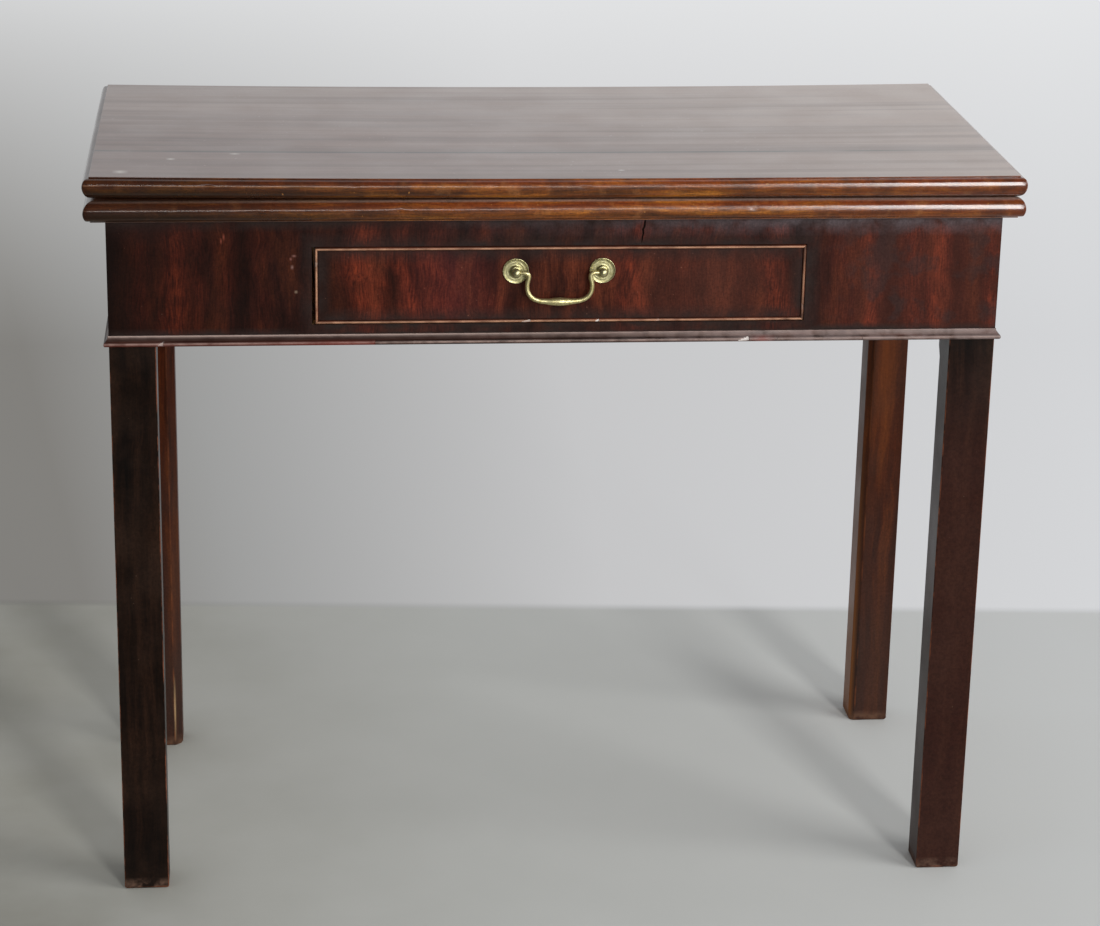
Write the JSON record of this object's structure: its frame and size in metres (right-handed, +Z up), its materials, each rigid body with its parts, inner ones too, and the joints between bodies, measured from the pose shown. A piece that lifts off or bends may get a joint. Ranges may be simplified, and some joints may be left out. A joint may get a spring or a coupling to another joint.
{
  "type": "folding games table",
  "caption": "Mahogany games table: folding baize-lined top on brass hinges, frieze drawer with swan-neck brass handle, square chamfered legs, one of them on a swinging gate.",
  "frame": {"origin": "on the floor, under the middle of the closed table's bounding box", "axes": "+X along the table to the right as seen from the drawer side, +Y from the drawer front to the hinged back edge, +Z up"},
  "size_m": [0.9, 0.435, 0.738],
  "materials": {
    "top_mahogany": "worn wax polish",
    "frieze_veneer": "french polished",
    "leg_mahogany": "dark old polish",
    "gate_mahogany": "thin old polish",
    "bead_mahogany": "rubbed polish",
    "carcase_pine": "sawn and planed, unfinished",
    "drawer_oak": "planed, unfinished",
    "green_baize": "fulled wool cloth",
    "brass": "rubbed, lightly tarnished",
    "iron": "dark, dull"
  },
  "bodies": {
    "frame": {"fixed_leaf": "top_mahogany", "baize_fixed_leaf": "green_baize", "hinge_plate_fixed_left": "brass", "hinge_plate_fixed_right": "brass", "hinge_pin_left": "brass", "hinge_pin_right": "brass", "front_leg_left": "leg_mahogany", "front_leg_right": "leg_mahogany", "rear_leg_left": "gate_mahogany", "front_top_rail": "carcase_pine", "front_bottom_rail": "carcase_pine", "front_panel_left": "carcase_pine", "front_panel_right": "carcase_pine", "side_rail_left": "carcase_pine", "side_rail_right": "carcase_pine", "back_rail": "carcase_pine", "front_veneer": "frieze_veneer", "side_veneer_left": "frieze_veneer", "side_veneer_right": "frieze_veneer", "moulding_front": "bead_mahogany", "moulding_left": "bead_mahogany", "moulding_right": "bead_mahogany", "fly_rail_fixed": "gate_mahogany", "fly_rail_screw_1": "iron", "fly_rail_screw_2": "iron", "drawer_runner_left": "carcase_pine", "drawer_runner_right": "carcase_pine", "drawer_kicker_left": "carcase_pine", "drawer_kicker_right": "carcase_pine", "drawer_stop_left": "carcase_pine", "drawer_stop_right": "carcase_pine", "glue_block_left": "carcase_pine", "glue_block_right": "carcase_pine", "top_screw_left_1": "iron", "top_screw_left_2": "iron", "top_screw_right_1": "iron", "top_screw_right_2": "iron"},
    "flap": {"flap_leaf": "top_mahogany", "baize_flap_leaf": "green_baize", "hinge_plate_flap_left": "brass", "hinge_plate_flap_right": "brass"},
    "gate": {"fly_rail_gate": "gate_mahogany", "gate_leg": "gate_mahogany", "knuckle_pin": "iron"},
    "drawer": {"drawer_front": "frieze_veneer", "drawer_side_left": "drawer_oak", "drawer_side_right": "drawer_oak", "drawer_back": "drawer_oak", "drawer_bottom": "drawer_oak", "cock_bead_left": "bead_mahogany", "cock_bead_right": "bead_mahogany", "cock_bead_bottom": "bead_mahogany", "cock_bead_top": "bead_mahogany", "rosette_left": "brass", "rosette_right": "brass", "post_left": "brass", "post_right": "brass", "post_nut_left": "brass", "post_nut_right": "brass"},
    "bail": {"bail": "brass"}
  },
  "joints": [
    {"name": "flap_hinge", "type": "hinge", "parent": "frame", "child": "flap", "pos_m": [0, 0.21495, 0.7172], "axis": [-1, 0, 0], "range_deg": [0, 180]},
    {"name": "gate_hinge", "type": "hinge", "parent": "frame", "child": "gate", "pos_m": [0, 0.19735, 0.635], "axis": [0, 0, 1], "range_deg": [0, 90]},
    {"name": "drawer_slide", "type": "slide", "parent": "frame", "child": "drawer", "axis": [0, -1, 0], "range_m": [0, 0.24]},
    {"name": "bail_swing", "type": "hinge", "parent": "drawer", "child": "bail", "pos_m": [-0.0002, -0.21305, 0.6461], "axis": [-1, 0, 0], "range_deg": [-9, 150]}
  ]
}
